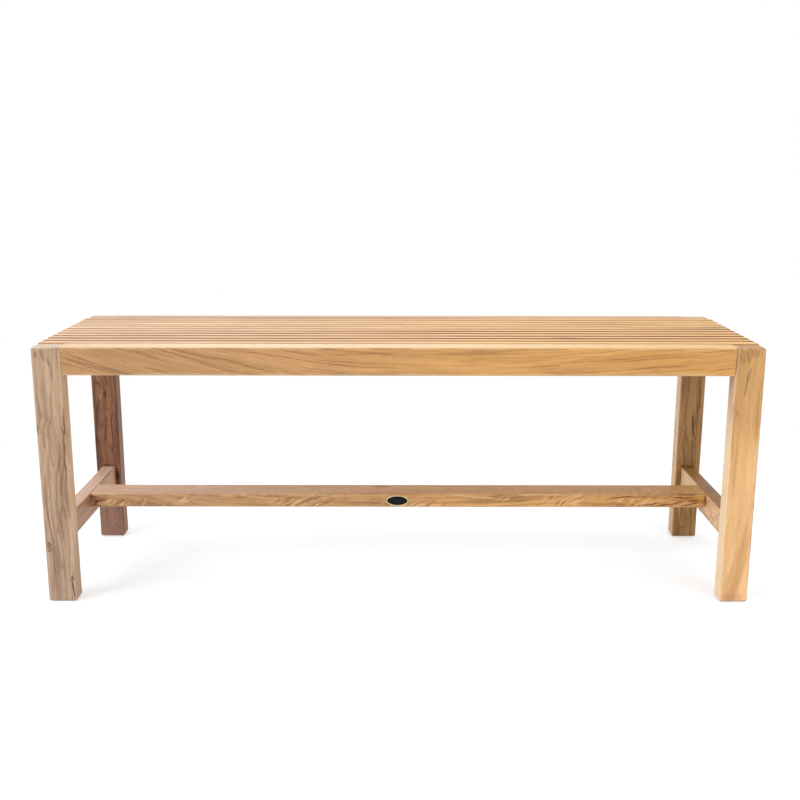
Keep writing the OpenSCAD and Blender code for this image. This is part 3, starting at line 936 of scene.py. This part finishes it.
def peg_teak():
    """Plain teak for the pegs."""
    teak = Teak("teak_peg", Cut("rail_pegs", "Y"))
    teak.grow("C89A6C", "A0764C", "7E5836", "B48860", seed=14.3, pith=(50, 50, 0), ring_gap=2,
              wander=5, contrast=0.8, vein_amount=0.3)
    teak.end_grain("7A5A3C", 0.5)
    return teak.done()


def check_shadow():
    """Painted shade for the dark inside of a drying check."""
    material, w, shader = new_material("check_shadow")
    grit = w.noise(w.coordinates(), (900.0, 900.0, 200.0))
    w.plug(w.mix(w.ramp(grit, 0.3, 0.7), paint("3C281C"), paint("5E4230")), shader["Base Color"])
    w.plug(w.ramp(grit, 0.3, 0.7, 0.8, 0.95), shader["Roughness"])
    return material


# ------------------------------------------------------------------------------------- metal and enamel
def brushed_group():
    """Fine lines and small knocks on metal: a tone, a roughness and a height."""
    takes = {"Place": ("vector", None), "Lines": ("vector", (300.0, 4000.0, 4000.0))}
    gives = {"Tone": "value", "Rough": "value", "Height": "value"}
    w, given, result = new_group("brushed", "ShaderNodeTree", takes, gives)
    lines = w.noise(given["Place"], given["Lines"], detail=3.0)
    cloud = w.noise(given["Place"], (180.0, 180.0, 180.0), detail=3.0)
    w.plug(w.ramp(cloud, 0.3, 0.7), result["Tone"])
    w.plug(w.plus(w.ramp(cloud, 0.3, 0.7, 0.22, 0.40), w.times(lines, 0.10)), result["Rough"])
    w.plug(lines, result["Height"])
    return w.tree


BRUSHED = brushed_group()


def metal(name, bright, dull, lines):
    """A metal whose tone drifts between two colours, with brushed lines along one axis."""
    material, w, shader = new_material(name)
    brushed = w.group(BRUSHED, {"Place": w.coordinates(), "Lines": lines})
    w.plug(w.mix(brushed["Tone"], paint(bright), paint(dull)), shader["Base Color"])
    w.plug(brushed["Rough"], shader["Roughness"])
    shader["Metallic"].default_value = 1.0
    add_bump(w, shader, brushed["Height"], 0.12, 0.03)
    return material


def black_enamel():
    """Glossy black enamel with a faint ripple."""
    material, w, shader = new_material("badge_black_enamel")
    ripple = w.noise(w.coordinates(), (420.0, 420.0, 420.0))
    w.plug(w.mix(w.ramp(ripple, 0.3, 0.7), paint("0C0B0B"), paint("1A1817")), shader["Base Color"])
    w.plug(w.ramp(ripple, 0.3, 0.7, 0.16, 0.26), shader["Roughness"])
    shader["Specular IOR Level"].default_value = 0.12
    add_bump(w, shader, ripple, 0.1, 0.1)
    return material


# ------------------------------------------------------------------------------------------ making pieces
def new_object(name, mesh, materials):
    mesh.materials.clear()
    for material in materials:
        mesh.materials.append(material)
    piece = bpy.data.objects.new(name, mesh)
    bpy.context.scene.collection.objects.link(piece)
    return piece


def mesh_from(bm, name):
    """The mesh that a bmesh holds. The bmesh is freed."""
    mesh = bpy.data.meshes.new(name)
    bm.to_mesh(mesh)
    bm.free()
    return mesh


def smooth(mesh, sharp_from):
    """Shades a mesh smooth, but for edges that turn by more than an angle in degrees."""
    mesh.shade_smooth()
    mesh.set_sharp_from_angle(angle=math.radians(sharp_from))


def lofted(name, loops):
    """A closed solid through loops of points, all with the same count."""
    bm = bmesh.new()
    rings = [[bm.verts.new(point) for point in loop] for loop in loops]
    count = len(rings[0])
    for here, there in zip(rings, rings[1:]):
        for place in range(count):
            beside = (place + 1) % count
            bm.faces.new((here[place], here[beside], there[beside], there[place]))
    bm.faces.new(rings[0])
    bm.faces.new(rings[-1])
    bmesh.ops.recalc_face_normals(bm, faces=bm.faces)
    return mesh_from(bm, name)


def turned(name, rings, count, point):
    """A closed solid through rings, each (size, height). point(size, angle) gives a ring's count points."""
    angles = [2 * math.pi * step / count for step in range(count)]
    return lofted(name, [[(*point(size, angle), height) for angle in angles] for size, height in rings])


def baked(piece):
    """The piece as a plain mesh, with its modifiers worked in and removed."""
    shown = piece.evaluated_get(bpy.context.evaluated_depsgraph_get())
    mesh = bpy.data.meshes.new_from_object(shown)
    mesh.name = piece.name
    piece.modifiers.clear()
    piece.data = mesh
    return piece


def finish_piece(piece, node):
    """Puts a finished mesh in place of its CAD node and on the bench's one body."""
    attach(piece, BODY)
    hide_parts(node)


def check_cutter(start, end, width, depth, seed):
    """A thin wedge that cuts one drying check into a front face, widest half way from start to end."""
    rng = random.Random(seed)
    outward = Vector(DIRECTION["front"])
    side = (end - start).cross(outward).normalized()
    stations = 9
    loops = []
    for number in range(stations + 1):
        share = number / stations
        swell = math.sin(math.pi * share) ** 0.7 if 0 < number < stations else 0.02
        ridge = start.lerp(end, share) + side * rng.uniform(-0.12, 0.12) * width
        half = side * width * swell * rng.uniform(0.4, 0.55)
        proud = ridge + outward * MM
        loops.append((proud - half, proud + half, ridge - outward * depth * swell))
    return lofted("check_cutter", loops)


def timber(name, node, material, checks=()):
    """A smooth copy of a CAD timber, with drying checks cut into its front face. A check is its start, its
    end, its width, its depth and a seed. Places are across and along the face from its middle, and all
    lengths are millimetres."""
    bm = bmesh.new()
    bm.from_mesh(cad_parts[node].data)
    bmesh.ops.remove_doubles(bm, verts=bm.verts, dist=0.001 * MM)
    piece = new_object(name, mesh_from(bm, name), [material, CHECK_SHADOW])
    face = middle(node)
    face.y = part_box(node)[0].y
    cutters = []
    for start, end, width, depth, seed in checks:
        ends = [face + Vector((across, 0.0, along)) * MM for across, along in (start, end)]
        cutter = new_object("cutter", check_cutter(*ends, width * MM, depth * MM, seed), [CHECK_SHADOW])
        cut = piece.modifiers.new("check", "BOOLEAN")
        cut.object = cutter
        cut.solver = "EXACT"
        cut.material_mode = "TRANSFER"
        cutters.append(cutter)
    soft = piece.modifiers.new("soft_arrises", "WEIGHTED_NORMAL")
    soft.keep_sharp = True
    smooth(piece.data, 35)
    baked(piece)
    for cutter in cutters:
        bpy.data.objects.remove(cutter)
    finish_piece(piece, node)


def geometry_tree(name, inputs):
    """A Geometry Nodes tree that makes a shape from named inputs, all of which are set by its user."""
    takes = {label: (sort, None) for label, sort in inputs.items()}
    w, given, result = new_group(name, "GeometryNodeTree", takes, {"Shape": "shape"})
    w.tree.is_modifier = True
    return w, given, result


def close_tree(w, shape, material, result):
    """Ends a Geometry Nodes tree: real geometry in one material."""
    shape = w.out("GeometryNodeRealizeInstances", {"Geometry": shape})
    inputs = {"Geometry": shape, "Material": material}
    w.plug(w.out("GeometryNodeSetMaterial", inputs), result["Shape"])
    return w.tree


def grown(name, tree, values):
    """A plain mesh piece from a Geometry Nodes tree and its named inputs."""
    piece = new_object(name, bpy.data.meshes.new(name), [values["Material"]])
    growth = piece.modifiers.new("growth", "NODES")
    growth.node_group = tree
    for item in tree.interface.items_tree:
        if item.item_type == "SOCKET" and item.in_out == "INPUT":
            growth[item.identifier] = values[item.name]
    return baked(piece)


def eased_board_tree():
    """A straight board whose long arrises and ends are eased by one radius, and that wavers a little."""
    inputs = {
        "Length": "value", "Width": "value", "Thickness": "value", "Arris": "value", "Stations": "count",
        "Waver": "value", "Seed": "value", "Centre": "vector", "Shift": "vector", "Tint": "vector",
        "Shade": "value", "Material": "material",
    }
    w, given, result = geometry_tree("eased_board", inputs)
    arris = given["Arris"]
    half_length = w.times(given["Length"], 0.5)

    # The third station from each end is where the easing starts. The two before it crowd together over the
    # ease, and the rest keep one pitch.
    ease_steps = 2.0
    line = w.out("GeometryNodeMeshLine", {"Count": given["Stations"]})
    index = w.out("GeometryNodeInputIndex")
    last = w.minus(given["Stations"], 1.0)
    middle_station = w.times(last, 0.5)
    from_end = w.lowest(index, w.minus(last, index))
    turn = w.math("COSINE", w.times(from_end, math.pi / 2 / ease_steps))
    over_ease = w.times(arris, w.minus(1.0, turn))
    pitch = w.math("DIVIDE", w.minus(half_length, arris), w.minus(middle_station, ease_steps))
    plain = w.plus(arris, w.times(w.minus(from_end, ease_steps), pitch))
    inward = w.minus(half_length, w.highest(over_ease, plain))
    side = w.math("SIGN", w.minus(index, middle_station))
    station = w.join(w.times(side, inward))
    line = w.out("GeometryNodeSetPosition", {"Geometry": line, "Position": station})
    path = w.out("GeometryNodeMeshToCurve", {"Mesh": line})
    path = w.out("GeometryNodeSetCurveNormal", {"Curve": path}, mode="Z_UP")

    # The section is a rectangle with round corners.
    inputs = {"Width": given["Width"], "Height": given["Thickness"]}
    section = w.out("GeometryNodeCurvePrimitiveQuadrilateral", inputs, mode="RECTANGLE")
    inputs = {"Curve": section, "Count": 4, "Radius": arris}
    section = w.out("GeometryNodeFilletCurve", inputs, mode="POLY")
    inputs = {"Curve": path, "Profile Curve": section, "Fill Caps": True}
    board = w.out("GeometryNodeCurveToMesh", inputs)

    # Over the last arris of its length the section draws in along a quarter round.
    place = w.out("GeometryNodeInputPosition")
    x, y, z = w.split(place)
    to_end = w.minus(half_length, w.math("ABSOLUTE", x))
    short = w.highest(w.minus(arris, to_end), 0.0)
    rim = w.math("SQRT", w.highest(w.minus(w.times(arris, arris), w.times(short, short)), 0.0))
    core = []
    for across, size in ((y, given["Width"]), (z, given["Thickness"])):
        limit = w.minus(w.times(size, 0.5), arris)
        held = w.lowest(w.math("ABSOLUTE", across), limit)
        core.append(w.times(w.math("SIGN", across), held))
    core = w.join(x, *core)
    out = w.vector("NORMALIZE", w.vector("SUBTRACT", place, core))
    eased = w.vector("ADD", core, w.scaled(out, rim))

    # Each seed wavers over another stretch of the noise, across the board but not along it.
    seed_step = 7.3
    seeded = w.vector("ADD", place, w.join(w.times(given["Seed"], seed_step)))
    waver = w.vector("MULTIPLY", w.sway(seeded, (7.0, 40.0, 40.0), given["Waver"]), (0.0, 1.0, 1.0))
    inputs = {"Geometry": board, "Position": w.vector("ADD", eased, waver)}
    board = w.out("GeometryNodeSetPosition", inputs)

    carried = {"board": place, "shift": given["Shift"], "tint": given["Tint"], "shade": given["Shade"]}
    for label, value in carried.items():
        inputs = {"Geometry": board, "Name": label, "Value": value}
        board = w.out("GeometryNodeStoreNamedAttribute", inputs, data_type="FLOAT_VECTOR")
    board = w.out("GeometryNodeSetPosition", {"Geometry": board, "Offset": given["Centre"]})
    board = w.out("GeometryNodeSetShadeSmooth", {"Geometry": board})
    return close_tree(w, board, given["Material"], result)


# The radii of a slat screw and the height of its head, in millimetres.
SCREW_HEAD = 4.0
SCREW_SOCKET = 1.3
SCREW_SHANK = 2.0
SCREW_HEAD_DEPTH = 2.5


def screw_pattern(material):
    """One slat screw, head down, with a hexagon socket and a threaded shank. It rests on its head."""
    thread_root = SCREW_SHANK * 0.78
    thread_start = 9
    pitch = 1.15
    crest = 0.55
    tip = 30
    rings = [
        (("hexagon", SCREW_SOCKET), 1.4 - SCREW_HEAD_DEPTH),
        (("hexagon", SCREW_SOCKET), 0.1 - SCREW_HEAD_DEPTH),
        (("round", SCREW_SOCKET * 1.35), -SCREW_HEAD_DEPTH),
        (("round", SCREW_HEAD * 0.80), -SCREW_HEAD_DEPTH),
        (("round", SCREW_HEAD * 0.96), 0.4 - SCREW_HEAD_DEPTH),
        (("round", SCREW_HEAD), 1.0 - SCREW_HEAD_DEPTH),
        (("round", SCREW_HEAD), 0.0),
        (("round", SCREW_SHANK), 0.0),
    ]
    for turn in range(16):
        height = thread_start + turn * pitch
        rings.append((("round", thread_root), height))
        rings.append((("round", SCREW_SHANK), height + crest))
    rings.append((("round", 0.3), tip))

    def point(size, angle):
        kind, radius = size
        if kind == "hexagon":
            radius = radius / math.cos(angle % (math.pi / 3) - math.pi / 6)
        return radius * math.cos(angle), radius * math.sin(angle)

    mesh = turned("screw_pattern", rings, 24, point)
    mesh.transform(Matrix.Scale(MM, 4))
    smooth(mesh, 32)
    return new_object("screw_pattern", mesh, [material])


def screw_grid_tree():
    """A grid of screws under the slats, each turned to a stop of its own."""
    inputs = {
        "Span": "value", "Reach": "value", "Along": "count", "Across": "count", "Head height": "value",
        "Seed": "count", "Screw": "object", "Material": "material",
    }
    w, given, result = geometry_tree("screw_grid", inputs)
    inputs = {"Size X": given["Span"], "Size Y": given["Reach"]}
    inputs["Vertices X"] = given["Along"]
    inputs["Vertices Y"] = given["Across"]
    grid = w.add("GeometryNodeMeshGrid", inputs).outputs["Mesh"]
    inputs = {"Geometry": grid, "Offset": w.join(0.0, 0.0, given["Head height"])}
    grid = w.out("GeometryNodeSetPosition", inputs)
    stop = w.add("FunctionNodeRandomValue", {"Seed": given["Seed"]}, data_type="FLOAT")
    stop.inputs[3].default_value = 2 * math.pi
    turn = w.join(0.0, 0.0, stop.outputs[1])
    screw = w.add("GeometryNodeObjectInfo", {"Object": given["Screw"]}).outputs["Geometry"]
    inputs = {"Points": grid, "Instance": screw, "Rotation": turn}
    screws = w.out("GeometryNodeInstanceOnPoints", inputs)
    return close_tree(w, screws, given["Material"], result)


# ------------------------------------------------------------------------------------------- the pieces
CHECK_SHADOW = check_shadow()


def make_legs():
    left_checks = [
        ((17.8, -185), (19.6, -203.5), 3.0, 5, 1),
        ((19.2, -172.5), (20, -184), 1.9, 4, 2),
        ((19.4, -200.5), (20.8, -216.5), 1.6, 3, 8),
    ]
    right_checks = [
        ((1.2, 189), (-2.5, 165), 0.8, 2, 3),
        ((-2.8, 186), (-5.2, 150), 1.1, 2.5, 4),
        ((-5.4, 154), (-7.6, 140), 0.9, 2, 5),
    ]
    back_checks = [
        ((3.2, 29.5), (5.2, -4.5), 2.2, 3, 6),
    ]
    timber("front_left_leg", "leg_front_left", front_left_leg_teak(), left_checks)
    timber("front_right_leg", "leg_front_right", front_right_leg_teak(), right_checks)
    timber("back_left_leg", "leg_back_left", back_left_leg_teak())
    timber("back_right_leg", "leg_back_right", back_right_leg_teak(), back_checks)


def make_rails():
    timber("front_rail", "rail_front", front_rail_teak())
    timber("back_rail", "rail_back", back_rail_teak())
    teak = cross_rail_teak()
    for node in ("end_rail_left", "cross_rail_left", "cross_rail_right", "end_rail_right"):
        timber(node + "_bar", node, teak)


def make_stretchers():
    timber("left_stretcher", "end_stretcher_left", left_stretcher_teak())
    timber("right_stretcher", "end_stretcher_right", right_stretcher_teak())
    timber("middle_stretcher", "long_stretcher", long_stretcher_teak())


def make_slats():
    """The slats. Every third is rosier, from the second on; each slat's lightness and painted gap shade go
    from front to back.
    """
    cream = slat_teak("teak_slat_cream", "F8DAB2", "D4AA7E", "AC8058", "E6C398", seed=15.6)
    rose = slat_teak("teak_slat_rose", "EFCCA8", "C89E78", "A0765A", "D8B08E", seed=16.9)
    board = eased_board_tree()
    lights = (1.03, 1.00, 0.93, 0.96, 1.03, 0.98, 1.01, 1.02, 1.00, 0.97, 0.99)
    shades = (0.55, 0.90, 1.15, 1.00, 1.00, 1.05, 0.90, 0.50, 0.70, 0.75, 0.65)
    grain_step = Vector((0.013, 0.029, 0.37))
    waver = 0.25 * MM
    rng = random.Random(11)
    for number in range(1, SLATS + 1):
        node = f"slat_{number:02d}"
        low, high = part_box(node)
        kind, material_slot = (rose, "teak_rose") if number % 3 == 2 else (cream, "teak_cream")
        light = lights[number - 1]
        values = {
            "Length": high.x - low.x,
            "Width": high.y - low.y,
            "Thickness": high.z - low.z - waver,
            "Arris": 1.75 * MM,
            "Stations": 65,
            "Waver": waver,
            "Seed": float(number),
            "Centre": middle(node),
            "Shift": grain_step * number,
            "Tint": (light, light * rng.uniform(0.985, 1.01), light * rng.uniform(0.97, 1.02)),
            "Shade": shades[number - 1],
            "Material": kind,
        }
        finish_piece(grown(f"seat_{node}", board, values), node)


def make_screws():
    """One screw up through each rail under the seat into each slat."""
    steel = metal("stainless_steel", "C9CCCE", "A9ADB0", (4000.0, 300.0, 4000.0))
    pattern = screw_pattern(steel)
    values = {
        "Span": middle("end_rail_right").x - middle("end_rail_left").x,
        "Reach": middle(f"slat_{SLATS:02d}").y - middle("slat_01").y,
        "Along": RAILS_UNDER_SLATS,
        "Across": SLATS,
        "Head height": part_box("slat_screws")[0].z + SCREW_HEAD_DEPTH * MM,
        "Seed": 5,
        "Screw": pattern,
        "Material": steel,
    }
    piece = grown("slat_screw_set", screw_grid_tree(), values)
    bpy.data.objects.remove(pattern)
    finish_piece(piece, "slat_screws")


def oval_reach(node):
    """How far an oval CAD node reaches from its middle, sideways and up, in millimetres."""
    low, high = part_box(node)
    return (high.x - low.x) / 2 / MM, (high.z - low.z) / 2 / MM


def oval(name, node, rings, material):
    """An oval plate that stands for a CAD node. Rings are half the width, half the height and how far
    forward of the node's back, in millimetres."""
    back = middle(node)
    back.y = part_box(node)[1].y

    def point(size, angle):
        return size[0] * math.cos(angle), size[1] * math.sin(angle)

    mesh = turned(name, [((wide, tall), forward) for wide, tall, forward in rings], 96, point)
    upright = Matrix.Rotation(math.pi / 2, 4, "X") @ Matrix.Scale(MM, 4)
    mesh.transform(Matrix.Translation(back) @ upright)
    smooth(mesh, 40)
    finish_piece(new_object(name, mesh, [material]), node)


def make_badge():
    """A blank oval badge: a raised metal rim round a domed black field."""
    wide, tall = oval_reach("badge_plate")
    under_field = (17.5, 7.3)
    rim = [
        (*under_field, 0.0),
        (wide, tall, 0.0),
        (wide, tall, 0.9),
        (wide - 0.2, tall - 0.2, 1.3),
        (wide - 0.65, tall - 0.65, 1.5),
        (wide - 1.1, tall - 1.1, 1.35),
        (wide - 1.3, tall - 1.3, 0.9),
        (*under_field, 0.9),
    ]
    gold = metal("badge_pale_metal", "FBF0CC", "E4D3A0", (300.0, 4000.0, 4000.0))
    oval("badge_rim", "badge_plate", rim, gold)

    wide, tall = oval_reach("badge_enamel")
    dome = [
        (wide, tall, 0.0),
        (wide, tall, 0.15),
        (15.6, 6.3, 0.27),
        (9.0, 3.0, 0.33),
        (0.5, 0.2, 0.35),
    ]
    oval("badge_field", "badge_enamel", dome, black_enamel())


def finish_pegs():
    """The pegs keep their CAD meshes and only get their teak."""
    teak = peg_teak()
    for node in ("rail_pegs", "stretcher_pegs"):
        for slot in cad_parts[node].material_slots:
            slot.material = teak


# ------------------------------------------------------------------------------------------- the studio
def make_camera():
    data = bpy.data.cameras.new("photo_camera")
    data.lens = CAMERA_LENS
    data.sensor_width = CAMERA_SENSOR
    camera = bpy.data.objects.new("photo_camera", data)
    tilt = Matrix.Rotation(math.pi / 2 + CAMERA_PITCH, 4, "X") @ Matrix.Rotation(CAMERA_ROLL, 4, "Z")
    camera.matrix_world = Matrix.Translation(CAMERA_PLACE) @ Matrix.Rotation(CAMERA_YAW, 4, "Z") @ tilt
    bpy.context.scene.collection.objects.link(camera)
    bpy.context.scene.camera = camera


def white_to_the_eye(w):
    """1 for the rays that see the studio's white: from the camera, or off and through a surface."""
    rays = w.add("ShaderNodeLightPath").outputs
    return w.highest(rays["Is Camera Ray"], rays["Is Glossy Ray"], rays["Is Transmission Ray"])


def make_world():
    """White to the eye, and a softer light on the bench."""
    sky_light = 0.62
    world = bpy.data.worlds.new("studio_world")
    bpy.context.scene.world = world
    w = bare_wiring(world)
    seen = w.out("ShaderNodeBackground", {"Color": paint("FFFFFF"), "Strength": 1.0})
    light = w.out("ShaderNodeBackground", {"Color": paint("FFFCF8"), "Strength": sky_light})
    w.add("ShaderNodeOutputWorld", {"Surface": w.either(white_to_the_eye(w), light, seen)})


def floor_material():
    """A pale floor that the camera sees as white, but for the bench's own soft shadow.

    Near the bench a part of the white glows and the rest is lit, and only that rest falls into shadow. From
    below the floor is see-through.
    """
    glow = 0.49
    lit = (0.66, 0.725, 0.79, 1.0)
    near_until, far_from = 0.6, 1.1
    material = bpy.data.materials.new("studio_floor")
    w = bare_wiring(material)
    plain = w.out("ShaderNodeBsdfDiffuse", {"Color": paint("ECEAE7")})
    shadowed = w.out("ShaderNodeBsdfDiffuse", {"Color": lit})
    white = w.out("ShaderNodeEmission", {"Color": paint("FFFFFF"), "Strength": glow})
    near = w.out("ShaderNodeAddShader", {0: shadowed, 1: white})
    far = w.out("ShaderNodeEmission", {"Color": paint("FFFFFF"), "Strength": 1.0})
    distance = w.vector("LENGTH", w.vector("MULTIPLY", w.coordinates(), (0.7, 1.0, 0.0)))
    seen = w.either(w.ramp(distance, near_until, far_from), near, far)
    top = w.either(white_to_the_eye(w), plain, seen)
    below = w.out("ShaderNodeBsdfTransparent")
    backfacing = w.add("ShaderNodeNewGeometry").outputs["Backfacing"]
    w.add("ShaderNodeOutputMaterial", {"Surface": w.either(backfacing, top, below)})
    return material


def make_floor():
    half_side = 12.0
    bm = bmesh.new()
    bmesh.ops.create_grid(bm, x_segments=1, y_segments=1, size=half_side)
    new_object("studio_floor", mesh_from(bm, "studio_floor"), [floor_material()])


def softbox(name, place, size, power):
    """A square softbox aimed at the middle of the bench."""
    bench_middle = Vector((0.0, 0.0, 0.25))
    data = bpy.data.lights.new(name, "AREA")
    data.size = size
    data.energy = power
    lamp = bpy.data.objects.new(name, data)
    lamp.location = place
    lamp.rotation_euler = (bench_middle - lamp.location).to_track_quat("-Z", "Y").to_euler()
    bpy.context.scene.collection.objects.link(lamp)


def make_lights():
    softbox("key_softbox", (-2.4, -1.5, 2.0), 1.6, 42.0)
    softbox("fill_softbox", (1.9, -2.6, 1.7), 1.8, 22.0)
    softbox("top_softbox", (0.0, 0.6, 2.6), 2.2, 20.0)


make_camera()
make_legs()
make_rails()
make_stretchers()
make_slats()
make_screws()
make_badge()
finish_pegs()
make_floor()
make_world()
make_lights()
bpy.context.scene.view_settings.view_transform = "Standard"
